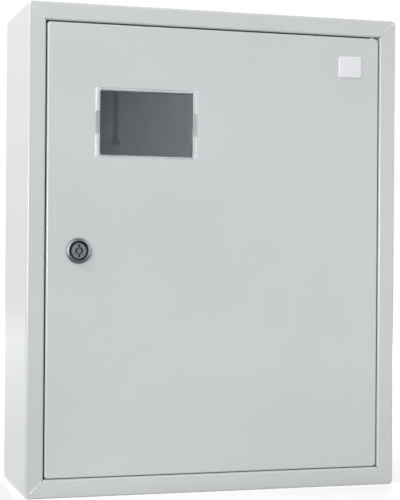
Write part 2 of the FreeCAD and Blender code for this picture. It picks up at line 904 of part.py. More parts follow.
def all_parts():
    to_right = Vector(1, 0, 0)
    inward = Vector(0, 1, 0)
    return {
        "casing": casing(),
        "mounting_plate": mounting_plate(),
        "plate_studs": plate_studs(),
        "plate_washers": plate_washers(),
        "plate_nuts": plate_nuts(),
        "din_rail": din_rail(),
        "rail_screws": rail_screws(),
        "neutral_bar": terminal_bar(-bar_offset_x),
        "neutral_bar_feet": bar_feet(-bar_offset_x),
        "neutral_bar_screws": bar_screws(-bar_offset_x),
        "earth_bar": terminal_bar(bar_offset_x),
        "earth_bar_feet": bar_feet(bar_offset_x),
        "earth_bar_screws": bar_screws(bar_offset_x),
        "bar_feet_screws": foot_screws(),
        "casing_earth_stud": earth_stud(casing_earth_seat(), to_right),
        "casing_earth_washer": earth_washer(casing_earth_seat(), to_right),
        "casing_earth_nut": earth_nut(casing_earth_seat(), to_right),
        "hinge_pin_top": hinge_pin(1),
        "hinge_pin_bottom": hinge_pin(-1),
        "door": door(),
        "door_earth_stud": earth_stud(door_earth_seat(), inward),
        "door_earth_washer": earth_washer(door_earth_seat(), inward),
        "door_earth_nut": earth_nut(door_earth_seat(), inward),
        "meter_window": meter_window(),
        "door_badge": badge(),
        "lock_housing": lock_housing(),
        "lock_nut": lock_nut(),
        "lock_rotor": lock_rotor(),
        "lock_cam": lock_cam(),
        "cam_washer": cam_washer(),
        "cam_screw": cam_screw(),
    }


def main():
    os.makedirs("parts", exist_ok=True)
    for name, shape in all_parts().items():
        shape.exportStep(os.path.join("parts", name + ".step"))
        print(name, "solids", len(shape.Solids), "valid", shape.isValid(), "volume", round(shape.Volume, 1))


main()
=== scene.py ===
# %% [markdown]
# # Electric meter box
# A steel box that hangs on a wall and holds an electricity meter: a folded casing, a door with a clear
# window and a quarter-turn lock, and inside it a plate, a rail and terminal bars. The solids come from
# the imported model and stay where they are. This lesson gives each of them its finish, remakes the small
# things that a solid model keeps plain, such as threads, nuts, weld beads and the clear window, and
# lights the box as in a plain studio.

import math

import bmesh
import bpy
from mathutils import Matrix, Vector, noise as lumps


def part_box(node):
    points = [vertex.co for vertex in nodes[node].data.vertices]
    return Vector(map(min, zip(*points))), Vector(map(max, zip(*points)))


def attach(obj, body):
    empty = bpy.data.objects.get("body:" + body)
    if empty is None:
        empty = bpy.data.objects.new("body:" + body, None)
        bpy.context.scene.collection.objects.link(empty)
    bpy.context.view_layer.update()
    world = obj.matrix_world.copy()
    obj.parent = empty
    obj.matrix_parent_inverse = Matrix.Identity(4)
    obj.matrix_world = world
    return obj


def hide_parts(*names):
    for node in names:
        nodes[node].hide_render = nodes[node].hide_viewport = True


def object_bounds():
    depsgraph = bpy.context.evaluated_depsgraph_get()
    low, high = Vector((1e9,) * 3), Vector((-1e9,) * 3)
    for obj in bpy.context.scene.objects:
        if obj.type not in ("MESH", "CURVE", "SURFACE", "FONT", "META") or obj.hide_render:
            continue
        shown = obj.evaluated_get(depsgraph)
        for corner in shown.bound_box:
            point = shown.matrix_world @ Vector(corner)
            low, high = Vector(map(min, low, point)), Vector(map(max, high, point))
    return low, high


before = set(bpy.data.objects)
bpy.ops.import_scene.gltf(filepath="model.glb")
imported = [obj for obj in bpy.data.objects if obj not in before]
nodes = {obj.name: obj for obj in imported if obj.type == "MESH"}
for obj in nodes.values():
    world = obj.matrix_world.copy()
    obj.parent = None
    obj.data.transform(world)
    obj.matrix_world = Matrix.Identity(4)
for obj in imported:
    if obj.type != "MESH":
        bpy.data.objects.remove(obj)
cad_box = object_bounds()
mm = 0.001

# %% [markdown]
# ## The camera
# The photograph was taken from the front, a little to the left, with a long lens. A camera can be aimed
# with a Track To constraint, but three plain turns say more: the camera first looks along +Y, then leans
# (pitch), turns (yaw) and tips sideways (roll). The lens is for a sensor of 36 mm on the frame's long side.

# %% Camera
camera_place = Vector((-0.4305, -1.5266, -0.0016))
camera_yaw = math.radians(-16.528)
camera_pitch = math.radians(0.109)
camera_roll = math.radians(0.415)
camera_lens = 100.48

camera_data = bpy.data.cameras.new("photo_camera")
camera_data.lens = camera_lens
camera_data.sensor_width = 36.0
camera_data.sensor_fit = "AUTO"
camera_data.clip_start = 0.01
camera = bpy.data.objects.new("photo_camera", camera_data)
bpy.context.scene.collection.objects.link(camera)
camera.matrix_world = (
    Matrix.Translation(camera_place)
    @ Matrix.Rotation(camera_yaw, 4, "Z")
    @ Matrix.Rotation(math.pi / 2 + camera_pitch, 4, "X")
    @ Matrix.Rotation(camera_roll, 4, "Z")
)
bpy.context.scene.camera = camera
print("camera at", tuple(round(v, 3) for v in camera_place))

# %% [markdown]
# ## Light and floor
# Product photographs of grey boxes are lit softly from all round. A white world gives the soft part, and
# area lamps add the direction: a broad one from the front left, one high on the left that makes that side
# brighter than the front, and one behind, so that the back isn't dull. Two narrow strips draw bright lines
# along the rounded folds. The floor is a plain pale plane.

# %% Background seen by the eye and by mirrors
ambient_strength = 0.31
backdrop_strength = 1.0


def background_rays(tree):
    """1 for rays that the camera sees, also by mirrors or clear plastic; 0 for rays that give light."""
    light_path = tree.nodes.new("ShaderNodeLightPath")
    seen = light_path.outputs["Is Camera Ray"]
    for name in ("Is Glossy Ray", "Is Transmission Ray"):
        either = tree.nodes.new("ShaderNodeMath")
        either.operation = "MAXIMUM"
        tree.links.new(seen, either.inputs[0])
        tree.links.new(light_path.outputs[name], either.inputs[1])
        seen = either.outputs["Value"]
    unscattered = tree.nodes.new("ShaderNodeMath")
    unscattered.operation = "SUBTRACT"
    unscattered.use_clamp = True
    tree.links.new(seen, unscattered.inputs[0])
    tree.links.new(light_path.outputs["Diffuse Depth"], unscattered.inputs[1])
    return unscattered.outputs["Value"]


def build_world():
    """White world that is dimmer as a lamp than as a background."""
    world = bpy.data.worlds.new("studio")
    bpy.context.scene.world = world
    world.use_nodes = True
    tree = world.node_tree
    tree.nodes.clear()
    strength = tree.nodes.new("ShaderNodeMix")
    strength.inputs["A"].default_value = ambient_strength
    strength.inputs["B"].default_value = backdrop_strength
    tree.links.new(background_rays(tree), strength.inputs["Factor"])
    background = tree.nodes.new("ShaderNodeBackground")
    background.inputs["Color"].default_value = (1.0, 1.0, 1.0, 1.0)
    tree.links.new(strength.outputs["Result"], background.inputs["Strength"])
    output = tree.nodes.new("ShaderNodeOutputWorld")
    tree.links.new(background.outputs["Background"], output.inputs["Surface"])


build_world()
bpy.context.scene.view_settings.view_transform = "Standard"
print("world lights at", ambient_strength, "and shows at", backdrop_strength)

# %% Lamps


def add_lamp(name, place, target, width, height, power, mirrored=True):
    """Soft rectangular lamp that faces a target; mirrors need not show it."""
    data = bpy.data.lights.new(name, "AREA")
    data.shape = "RECTANGLE"
    data.size = width
    data.size_y = height
    data.energy = power
    lamp = bpy.data.objects.new(name, data)
    bpy.context.scene.collection.objects.link(lamp)
    aim = Vector(target) - Vector(place)
    lamp.matrix_world = Matrix.Translation(Vector(place)) @ aim.to_track_quat("-Z", "Y").to_matrix().to_4x4()
    lamp.visible_glossy = mirrored


box_middle = (cad_box[0] + cad_box[1]) / 2
add_lamp("key_front", (-2.50, -3.60, 0.05), box_middle, 1.8, 0.55, 80.0)
add_lamp("key_side", (-1.00, -0.30, 1.15), box_middle, 0.8, 0.8, 16.0, mirrored=False)
add_lamp("strip_left", (-1.25, -1.25, 0.65), box_middle, 0.12, 1.0, 5.5)
add_lamp("strip_right", (1.50, -1.20, 0.65), box_middle, 0.20, 1.0, 6.0)
add_lamp("fill_back", (1.00, 2.20, 0.80), box_middle, 1.0, 1.0, 40.0, mirrored=False)

# %% [markdown]
# The floor has two jobs: to look white, and to keep the soft shadow under the box. A strong lamp would
# make it white but would bleach the box too. So the floor is a plain pale grey, and a glow that shows only
# to the camera, in mirrors and through clear plastic lifts it to white. The glow is weakest near the box,
# where the shadow lies. Three helpers build its nodes, and the finishes further down use them again.

# %% First helpers for materials


def start_finish(name):
    """New material with a shader and object coordinates."""
    material = bpy.data.materials.new(name)
    material.use_nodes = True
    tree = material.node_tree
    shader = tree.nodes["Principled BSDF"]
    coordinates = tree.nodes.new("ShaderNodeTexCoord").outputs["Object"]
    return material, tree, shader, coordinates


def value_between(tree, factor, first, second, start=0.3, end=0.7):
    """The factor, moved from start..end into the range from first to second."""
    spread = tree.nodes.new("ShaderNodeMapRange")
    spread.inputs["From Min"].default_value = start
    spread.inputs["From Max"].default_value = end
    spread.inputs["To Min"].default_value = first
    spread.inputs["To Max"].default_value = second
    tree.links.new(factor, spread.inputs["Value"])
    return spread.outputs["Result"]


def length_of(tree, vector):
    """Length of a vector; for coordinates it is the distance from their origin."""
    length = tree.nodes.new("ShaderNodeVectorMath")
    length.operation = "LENGTH"
    tree.links.new(vector, length.inputs[0])
    return length.outputs["Value"]


# %% Floor
floor_size = 8.0
floor_shade = 0.55
matt = 0.9
near_box = 0.4
far_off = 2.2
lift_near_box = 0.56
lift_far_off = 1.0


def stage_plane(name, width, depth, middle, upright=False):
    """Plane for the set around the object, level or standing."""
    shape = bmesh.new()
    bmesh.ops.create_grid(shape, x_segments=1, y_segments=1, size=0.5)
    bmesh.ops.scale(shape, verts=shape.verts, vec=(width, depth, 1.0))
    if upright:
        bmesh.ops.rotate(shape, verts=shape.verts, matrix=Matrix.Rotation(math.pi / 2, 3, "X"))
    bmesh.ops.translate(shape, verts=shape.verts, vec=middle)
    mesh = bpy.data.meshes.new(name)
    shape.to_mesh(mesh)
    shape.free()
    plane = bpy.data.objects.new(name, mesh)
    bpy.context.scene.collection.objects.link(plane)
    return plane


def floor_material():
    """Pale floor that shows white where no shadow falls."""
    material, tree, shader, coordinates = start_finish("pale_floor")
    shader.inputs["Base Color"].default_value = (floor_shade, floor_shade, floor_shade, 1.0)
    shader.inputs["Roughness"].default_value = matt
    shader.inputs["Emission Color"].default_value = (1.0, 1.0, 1.0, 1.0)
    away = length_of(tree, coordinates)
    glow = value_between(tree, away, lift_near_box, lift_far_off, near_box, far_off)
    lift = tree.nodes.new("ShaderNodeMath")
    lift.operation = "MULTIPLY"
    tree.links.new(glow, lift.inputs[0])
    tree.links.new(background_rays(tree), lift.inputs[1])
    tree.links.new(lift.outputs["Value"], shader.inputs["Emission Strength"])
    return material


floor = stage_plane("floor", floor_size, floor_size, (0, 0, cad_box[0].z))
floor.data.materials.append(floor_material())
print("floor at z =", round(cad_box[0].z, 4))

# %% [markdown]
# Photographers steer the light with cards that stay out of the picture. Chrome is only what it mirrors, and
# in an all-white room the ring of the lock would vanish, so a dark cloth lies on the table and another hangs
# overhead. A grey wall in front keeps the glare off the door, and a small softbox before it is what the pane
# of the window mirrors, brighter to the right. A white card on the table throws light up at the front, and a
# black one on the left keeps the foot of that side dim. The camera sees none of them.

# %% Cards around the box
black_cloth = 0.04
dark_cloth = 0.08
grey_wall = 0.50
white_paper = 0.75
softbox_place = (0.53, -2.5, 0.35)
softbox_width = 0.42
softbox_height = 0.32
softbox_fade = 0.34
softbox_left = 0.58
softbox_right = 2.90
softbox_tint = (0.90, 0.96, 1.0, 1.0)


def hidden_card(name, shade, width, depth, middle, upright=False):
    """Card that the camera doesn't see and that casts no shadow."""
    card = stage_plane(name, width, depth, middle, upright)
    material = bpy.data.materials.new(name)
    material.use_nodes = True
    shader = material.node_tree.nodes["Principled BSDF"]
    shader.inputs["Base Color"].default_value = (shade, shade, shade, 1.0)
    shader.inputs["Roughness"].default_value = matt
    card.data.materials.append(material)
    card.visible_camera = False
    card.visible_transmission = False
    card.visible_shadow = False
    return card


def glow_across(card, middle, width):
    """Let a card glow, more and more from left to right over a width."""
    tree = card.data.materials[0].node_tree
    across = tree.nodes.new("ShaderNodeSeparateXYZ")
    tree.links.new(tree.nodes.new("ShaderNodeTexCoord").outputs["Object"], across.inputs["Vector"])
    left = middle - width / 2
    right = middle + width / 2
    glow = value_between(tree, across.outputs["X"], softbox_left, softbox_right, left, right)
    shader = tree.nodes["Principled BSDF"]
    shader.inputs["Emission Color"].default_value = softbox_tint
    tree.links.new(glow, shader.inputs["Emission Strength"])


table = cad_box[0].z
mirrored = [
    hidden_card("dark_table", dark_cloth, 1.6, 1.05, (0.0, -0.67, table + 1 * mm)),
    hidden_card("dark_ceiling", dark_cloth, 1.6, 0.8, (0.0, -0.35, 1.5)),
    hidden_card("grey_wall", grey_wall, 0.65, 0.85, (0.60, -2.55, 0.32), upright=True),
    hidden_card("softbox", black_cloth, softbox_width, softbox_height, softbox_place, upright=True),
]
for card in mirrored:
    card.visible_diffuse = False
softbox = mirrored[-1]
softbox.visible_transmission = True
glow_across(softbox, softbox_place[0], softbox_fade)
bounced = [
    hidden_card("white_card", white_paper, 1.7, 1.6, (0.65, -0.945, table + 2 * mm)),
    hidden_card("black_card", black_cloth, 2.8, 4.0, (-1.605, 0.15, table + 2 * mm)),
]
for card in bounced:
    card.visible_glossy = False
print(len(mirrored), "cards for mirrors and", len(bounced), "for soft light")

# %% [markdown]
# ## Blocks of every finish
# Every finish below is made of the same few blocks: noise that reads the object's own coordinates, a
# ramp that turns the noise into two close colours or two close roughnesses, and a bump made from the
# finest noise. Small functions keep each finish down to the numbers that matter.

# %% Helpers for finishes


def mapped(tree, coordinates, scale=(1, 1, 1), shift=(0, 0, 0)):
    """Coordinates scaled along each axis and then shifted."""
    mapping = tree.nodes.new("ShaderNodeMapping")
    mapping.inputs["Scale"].default_value = scale
    mapping.inputs["Location"].default_value = shift
    tree.links.new(coordinates, mapping.inputs["Vector"])
    return mapping.outputs["Vector"]


def noise(tree, coordinates, scale, detail=2.0):
    """Noise between 0 and 1; scale counts its lumps in a metre."""
    texture = tree.nodes.new("ShaderNodeTexNoise")
    texture.inputs["Scale"].default_value = scale
    texture.inputs["Detail"].default_value = detail
    tree.links.new(coordinates, texture.inputs["Vector"])
    return texture.outputs["Fac"]


def colour_between(tree, factor, first, second, start=0.3, end=0.7):
    """Ramp from one colour to another between two values of the factor."""
    ramp = tree.nodes.new("ShaderNodeValToRGB")
    ramp.color_ramp.elements[0].position = start
    ramp.color_ramp.elements[0].color = (*first, 1.0)
    ramp.color_ramp.elements[1].position = end
    ramp.color_ramp.elements[1].color = (*second, 1.0)
    tree.links.new(factor, ramp.inputs["Fac"])
    return ramp.outputs["Color"]


def bump(tree, height, distance, strength):
    """Normals tilted by a height field; distance is its real depth."""
    node = tree.nodes.new("ShaderNodeBump")
    node.inputs["Distance"].default_value = distance
    node.inputs["Strength"].default_value = strength
    tree.links.new(height, node.inputs["Height"])
    return node.outputs["Normal"]


# %% Helpers for the solids
merge_distance = 0.001 * mm
sharp_angle = math.radians(40)


def dress(material, names):
    """Give CAD solids a finish."""
    for name in names:
        mesh = nodes[name].data
        mesh.materials.clear()
        mesh.materials.append(material)
    print(material.name, "on", len(names), "solids")


def soften(names, width, segments=2):
    """Round the edges of CAD solids: weld their loose triangles, then bevel whatever turns sharply."""
    for name in names:
        weld = nodes[name].modifiers.new("weld", "WELD")
        weld.merge_threshold = merge_distance
        round_edges = nodes[name].modifiers.new("round_edges", "BEVEL")
        round_edges.width = width
        round_edges.segments = segments
        round_edges.limit_method = "ANGLE"
        round_edges.angle_limit = sharp_angle
        round_edges.use_clamp_overlap = True


# %% [markdown]
# ## Powder coat
# The casing and the door are sprayed with dry paint powder that melts in an oven. It sets with a satin
# gloss and a fine orange peel: lumps about 1.5 mm across and only hundredths of a millimetre high. A thin
# clear coat on the shader gives the folds their bright lines without making the flat faces shine.

# %% Powder coat on casing and door


def powder_coat():
    material, tree, shader, coordinates = start_finish("grey_powder_coat")
    broad = noise(tree, coordinates, 7.0)
    peel = noise(tree, coordinates, 650.0)
    colour = colour_between(tree, broad, (0.545, 0.562, 0.570), (0.565, 0.582, 0.589))
    tree.links.new(colour, shader.inputs["Base Color"])
    tree.links.new(value_between(tree, broad, 0.34, 0.40), shader.inputs["Roughness"])
    shader.inputs["Coat Weight"].default_value = 0.6
    shader.inputs["Coat Roughness"].default_value = 0.16
    tree.links.new(bump(tree, peel, 0.03 * mm, 0.35), shader.inputs["Normal"])
    return material


paint = powder_coat()
dress(paint, ["casing", "door"])

# %% [markdown]
# ## Zinc
# The mounting plate is galvanised sheet, dull and faintly cloudy, and the hinge pins are as dull. The rail,
# studs, nuts and screws are zinc-plated: brighter, with a cool tint.

# %% Zinc finishes


def galvanised():
    material, tree, shader, coordinates = start_finish("galvanised_sheet")
    cloud = noise(tree, coordinates, 45.0, 4.0)
    grain = noise(tree, coordinates, 900.0)
    colour = colour_between(tree, cloud, (0.35, 0.36, 0.375), (0.41, 0.42, 0.435))
    tree.links.new(colour, shader.inputs["Base Color"])
    shader.inputs["Metallic"].default_value = 0.85
    tree.links.new(value_between(tree, cloud, 0.48, 0.60), shader.inputs["Roughness"])
    tree.links.new(bump(tree, grain, 0.02 * mm, 0.25), shader.inputs["Normal"])
    return material


def bright_zinc():
    material, tree, shader, coordinates = start_finish("bright_zinc_plating")
    cloud = noise(tree, coordinates, 160.0, 3.0)
    grain = noise(tree, coordinates, 2500.0)
    colour = colour_between(tree, cloud, (0.50, 0.53, 0.56), (0.60, 0.62, 0.64))
    tree.links.new(colour, shader.inputs["Base Color"])
    shader.inputs["Metallic"].default_value = 1.0
    tree.links.new(value_between(tree, cloud, 0.28, 0.38), shader.inputs["Roughness"])
    tree.links.new(bump(tree, grain, 0.01 * mm, 0.2), shader.inputs["Normal"])
    return material


zinc = bright_zinc()
bar_screws = ["neutral_bar_screws", "earth_bar_screws", "bar_feet_screws"]
washers = ["plate_washers", "casing_earth_washer", "door_earth_washer", "cam_washer"]
studs = ["plate_studs", "casing_earth_stud", "door_earth_stud"]
nuts = ["plate_nuts", "casing_earth_nut", "door_earth_nut", "lock_nut"]
pins = ["hinge_pin_top", "hinge_pin_bottom"]
dress(galvanised(), ["mounting_plate"] + pins)
dress(zinc, ["din_rail", "rail_screws", "lock_cam", "cam_screw"] + bar_screws + washers + studs + nuts)
soften(bar_screws + washers + ["lock_cam", "cam_screw"], 0.25 * mm)
soften(pins, 0.3 * mm)

# %% [markdown]
# ## Brass bars on plastic feet
# Drawn brass has fine lines along its length, made here by noise stretched along X. The feet are moulded:
# blue under the neutral bar, green under the earth bar.

# %% Brass and moulded plastic


def drawn_brass():
    material, tree, shader, coordinates = start_finish("drawn_brass")
    lines = noise(tree, mapped(tree, coordinates, (60.0, 2600.0, 2600.0)), 1.0, 3.0)
    colour = colour_between(tree, lines, (0.70, 0.50, 0.20), (0.80, 0.60, 0.27))
    tree.links.new(colour, shader.inputs["Base Color"])
    shader.inputs["Metallic"].default_value = 1.0
    tree.links.new(value_between(tree, lines, 0.22, 0.34), shader.inputs["Roughness"])
    tree.links.new(bump(tree, lines, 0.02 * mm, 0.2), shader.inputs["Normal"])
    return material


def moulded_plastic(name, dark, light, roughness=0.40):
    material, tree, shader, coordinates = start_finish(name)
    cloud = noise(tree, coordinates, 120.0)
    grain = noise(tree, coordinates, 1800.0)
    tree.links.new(colour_between(tree, cloud, dark, light), shader.inputs["Base Color"])
    tree.links.new(value_between(tree, grain, roughness, roughness + 0.1), shader.inputs["Roughness"])
    tree.links.new(bump(tree, grain, 0.02 * mm, 0.3), shader.inputs["Normal"])
    return material


dress(drawn_brass(), ["neutral_bar", "earth_bar"])
dress(moulded_plastic("blue_moulding", (0.012, 0.075, 0.34), (0.016, 0.09, 0.39)), ["neutral_bar_feet"])
dress(moulded_plastic("green_moulding", (0.012, 0.19, 0.05), (0.016, 0.22, 0.06)), ["earth_bar_feet"])
soften(["neutral_bar", "earth_bar", "neutral_bar_feet", "earth_bar_feet"], 0.3 * mm)

# %% [markdown]
# ## Lock
# The lock's body is a die casting with bright chrome outside. Its deep mouth lies in shade, and that shade
# is painted into its colour. Both are one solid, so the colour changes on a circle round the lock's axis:
# the distance from the axis decides, and the painted shade fades into the chrome over about a millimetre.
# The insert that turns in it is plain cast metal with a fine grain.

# %% Lock finishes
lock_low, lock_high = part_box("lock_housing")
lock_axis = (lock_low + lock_high) / 2
# Painted shade: the mouth is dark up to this radius and turns to chrome by the next.
mouth_shade_fades_from = 10.2 * mm
mouth_shade_gone_at = 11.5 * mm


def distance_from_lock(tree, coordinates):
    """Distance from the axis of the lock."""
    return length_of(tree, mapped(tree, coordinates, (1, 0, 1), (-lock_axis.x, 0, -lock_axis.z)))


def chrome_with_painted_mouth_shade():
    material, tree, shader, coordinates = start_finish("chrome_with_painted_mouth_shade")
    haze = noise(tree, coordinates, 300.0)
    away = distance_from_lock(tree, coordinates)
    # Painted shade in the mouth, chrome outside it.
    out_of_mouth_shade = value_between(tree, away, 0.0, 1.0, mouth_shade_fades_from, mouth_shade_gone_at)
    colour = colour_between(tree, out_of_mouth_shade, (0.16, 0.165, 0.18), (0.42, 0.43, 0.45), 0.0, 1.0)
    tree.links.new(colour, shader.inputs["Base Color"])
    shader.inputs["Metallic"].default_value = 1.0
    tree.links.new(value_between(tree, haze, 0.36, 0.42), shader.inputs["Roughness"])
    return material


def cast_metal():
    material, tree, shader, coordinates = start_finish("cast_lock_metal")
    grain = noise(tree, coordinates, 1500.0, 4.0)
    colour = colour_between(tree, grain, (0.155, 0.162, 0.174), (0.245, 0.255, 0.273))
    tree.links.new(colour, shader.inputs["Base Color"])
    shader.inputs["Metallic"].default_value = 1.0
    tree.links.new(value_between(tree, grain, 0.30, 0.45), shader.inputs["Roughness"])
    tree.links.new(bump(tree, grain, 0.05 * mm, 0.4), shader.inputs["Normal"])
    return material


dress(chrome_with_painted_mouth_shade(), ["lock_housing"])
dress(cast_metal(), ["lock_rotor"])
soften(["lock_housing", "lock_rotor"], 0.3 * mm, 3)

# %% [markdown]
# ## Pieces made anew
# A solid model keeps threads, chamfers and mouldings plain. The pieces below are shaped with bmesh
# operators at their real place and size, so each one can ride on its body without being moved.

# %% Helpers for new pieces
loop_sides = 36


def add_piece(shape, name, body, finishes, replaced=(), smooth_angle=35):
    """Make an object of a bmesh, let it ride on a body and stand for the solids it replaces."""
    bmesh.ops.remove_doubles(shape, verts=shape.verts, dist=0.002 * mm)
    bmesh.ops.recalc_face_normals(shape, faces=shape.faces)
    mesh = bpy.data.meshes.new(name)
    shape.to_mesh(mesh)
    shape.free()
    mesh.shade_smooth()
    mesh.set_sharp_from_angle(angle=math.radians(smooth_angle))
    for finish in finishes:
        mesh.materials.append(finish)
    piece = bpy.data.objects.new(name, mesh)
    bpy.context.scene.collection.objects.link(piece)
    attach(piece, body)
    if replaced:
        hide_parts(*replaced)
    print(name, "has", len(mesh.polygons), "faces")
    return piece


def everything(shape):
    """All vertices, edges and faces of a shape, for operators that take them together."""
    return shape.verts[:] + shape.edges[:] + shape.faces[:]


def only_verts(geometry):
    return [item for item in geometry if isinstance(item, bmesh.types.BMVert)]


def edges_between(verts):
    """Edges with both ends among the vertices."""
    chosen = set(verts)
    return [e for v in verts for e in v.link_edges if e.verts[0] == v and e.verts[1] in chosen]


def bridge_row(shape, loops):
    """Skin from each loop of edges to the next."""
    for first, second in zip(loops, loops[1:]):
        bmesh.ops.bridge_loops(shape, edges=first + second)


def circle_loop(shape, radius, height, sides=loop_sides):
    """Round loop of edges about the Z axis."""
    verts = bmesh.ops.create_circle(shape, cap_ends=False, radius=radius, segments=sides)["verts"]
    bmesh.ops.translate(shape, verts=verts, vec=(0, 0, height))
    return edges_between(verts)


def place_along(shape, base, axis):
    """Turn a shape made along +Z to a level axis, its own +Y upwards, and move its foot to base."""
    up = Vector((0, 0, 1))
    turn = Matrix((up.cross(Vector(axis)), up, Vector(axis))).transposed().to_4x4()
    bmesh.ops.transform(shape, matrix=Matrix.Translation(base) @ turn, verts=shape.verts)


def repeat_at(shape, places):
    """Copies of the whole shape, moved from the first place to each of the others."""
    original = everything(shape)
    for place in places[1:]:
        copy = bmesh.ops.duplicate(shape, geom=original)["geom"]
        bmesh.ops.translate(shape, verts=only_verts(copy), vec=place - places[0])


def corners_of(node, inset_x, inset_z, y):
    """The four places of a node that stands at the corners of a rectangle."""
    low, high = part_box(node)
    columns = (low.x + inset_x, high.x - inset_x)
    rows = (low.z + inset_z, high.z - inset_z)
    return [Vector((x, y, z)) for x in columns for z in rows]


# %% [markdown]
# ## Threaded studs
# The studs are M6: a thread of 1 mm pitch. A V-shaped edge, spun round the axis while it climbs by one
# pitch a turn, draws the thread. Planes trim it to length, and its last turn tapers, as on a real stud.

# %% Threaded studs
stud_radius = 3.0 * mm
thread_pitch = 1.0 * mm
thread_depth = 0.6 * mm
steps_per_turn = 20
lead_length = 1.0 * mm
lead_depth = 0.2 * mm


def threaded_rod(length):
    """Screw thread along +Z, trimmed flat and closed at both ends."""
    shape = bmesh.new()
    root = stud_radius - thread_depth
    profile = [(root, -1.0), (stud_radius, -0.5), (root, 0.0)]
    verts = [shape.verts.new((radius, 0, turn * thread_pitch)) for radius, turn in profile]
    edges = [shape.edges.new(pair) for pair in zip(verts, verts[1:])]
    turns = math.ceil(length / thread_pitch) + 2
    bmesh.ops.spin(
        shape,
        geom=verts + edges,
        cent=(0, 0, 0),
        axis=(0, 0, 1),
        dvec=(0, 0, thread_pitch / steps_per_turn),
        angle=2 * math.pi * turns,
        steps=steps_per_turn * turns,
    )
    bmesh.ops.remove_doubles(shape, verts=shape.verts, dist=0.02 * mm)
    for height, outward in ((0.0, -1), (length, 1)):
        bmesh.ops.bisect_plane(
            shape,
            geom=everything(shape),
            plane_co=(0, 0, height),
            plane_no=(0, 0, outward),
            clear_outer=True,
        )
    for vert in shape.verts:
        limit = root - lead_depth + (length - vert.co.z) / lead_length * thread_depth
        reach = math.hypot(vert.co.x, vert.co.y)
        vert.co.xy *= min(1.0, limit / reach)
    bmesh.ops.holes_fill(shape, edges=[e for e in shape.edges if e.is_boundary], sides=0)
    return shape


stud_low, stud_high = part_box("plate_studs")
stud_places = corners_of("plate_studs", stud_radius, stud_radius, stud_high.y)
plate_rods = threaded_rod(stud_high.y - stud_low.y)
place_along(plate_rods, stud_places[0], (0, -1, 0))
repeat_at(plate_rods, stud_places)
add_piece(plate_rods, "threaded_plate_studs", "casing", [zinc], ["plate_studs"])

rod_low, rod_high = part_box("casing_earth_stud")
casing_rod = threaded_rod(rod_high.x - rod_low.x)
rod_middle = (rod_low + rod_high) / 2
place_along(casing_rod, Vector((rod_low.x, rod_middle.y, rod_middle.z)), (1, 0, 0))
add_piece(casing_rod, "threaded_casing_earth_stud", "casing", [zinc], ["casing_earth_stud"])

rod_low, rod_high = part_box("door_earth_stud")
door_rod = threaded_rod(rod_high.y - rod_low.y)
rod_middle = (rod_low + rod_high) / 2
place_along(door_rod, Vector((rod_middle.x, rod_low.y, rod_middle.z)), (0, 1, 0))
add_piece(door_rod, "threaded_door_earth_stud", "door", [zinc], ["door_earth_stud"])

# %% [markdown]
# ## Nuts
# A hexagon nut is turned on both faces, so its corners are cut by a cone, and each side ends in an arc.
# Six-sided loops, lowered by their distance from the axis, give those arcs. Round loops make the faces and
# the countersunk bore, and bridges skin them one after another.

# %% Nuts
chamfer_slope = math.tan(math.radians(30))
face_share = 0.96
bore_sink = 0.5 * mm


def hex_loop(shape, flat, height, upper):
    """Six-sided loop: a circle's points moved out to the flats, then lowered by the chamfer."""
    verts = bmesh.ops.create_circle(shape, cap_ends=False, radius=flat, segments=loop_sides)["verts"]
    for vert in verts:
        turn = math.atan2(vert.co.x, vert.co.y) % math.radians(60)
        vert.co /= math.cos(turn - math.radians(30))
        drop = max(0.0, vert.co.length - face_share * flat) * chamfer_slope
        vert.co.z = height - drop if upper else drop
    return edges_between(verts)


def hex_nut(across_flats, height, bore):
    """Nut along +Z."""
    shape = bmesh.new()
    flat = across_flats / 2
    mouth = bore + bore_sink
    loops = [circle_loop(shape, face_share * flat, 0.0)]
    loops.append(hex_loop(shape, flat, height, False))
    loops.append(hex_loop(shape, flat, height, True))
    loops.append(circle_loop(shape, face_share * flat, height))
    for radius, level in ((mouth, height), (bore, height - bore_sink), (bore, bore_sink), (mouth, 0.0)):
        loops.append(circle_loop(shape, radius, level))
    bridge_row(shape, loops + loops[:1])
    return shape


nut_flats = 10.0 * mm
nut_corner = nut_flats / 2 / math.cos(math.radians(30))
nut_bore = stud_radius - 0.5 * thread_depth

nut_low, nut_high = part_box("plate_nuts")
nut_places = corners_of("plate_nuts", nut_flats / 2, nut_corner, nut_high.y)
plate_hexes = hex_nut(nut_flats, nut_high.y - nut_low.y, nut_bore)
place_along(plate_hexes, nut_places[0], (0, -1, 0))
repeat_at(plate_hexes, nut_places)
add_piece(plate_hexes, "chamfered_plate_nuts", "casing", [zinc], ["plate_nuts"])

nut_low, nut_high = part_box("casing_earth_nut")
nut_middle = (nut_low + nut_high) / 2
casing_hex = hex_nut(nut_flats, nut_high.x - nut_low.x, nut_bore)
place_along(casing_hex, Vector((nut_low.x, nut_middle.y, nut_middle.z)), (1, 0, 0))
add_piece(casing_hex, "chamfered_casing_earth_nut", "casing", [zinc], ["casing_earth_nut"])

nut_low, nut_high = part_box("door_earth_nut")
nut_middle = (nut_low + nut_high) / 2
door_hex = hex_nut(nut_flats, nut_high.y - nut_low.y, nut_bore)
place_along(door_hex, Vector((nut_middle.x, nut_low.y, nut_middle.z)), (0, 1, 0))
add_piece(door_hex, "chamfered_door_earth_nut", "door", [zinc], ["door_earth_nut"])

lock_nut_flats = 27.0 * mm
lock_nut_bore = 11.05 * mm
nut_low, nut_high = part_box("lock_nut")
lock_hex = hex_nut(lock_nut_flats, nut_high.y - nut_low.y, lock_nut_bore)
place_along(lock_hex, Vector((lock_axis.x, nut_low.y, lock_axis.z)), (0, 1, 0))
add_piece(lock_hex, "chamfered_lock_nut", "door", [zinc], ["lock_nut"])

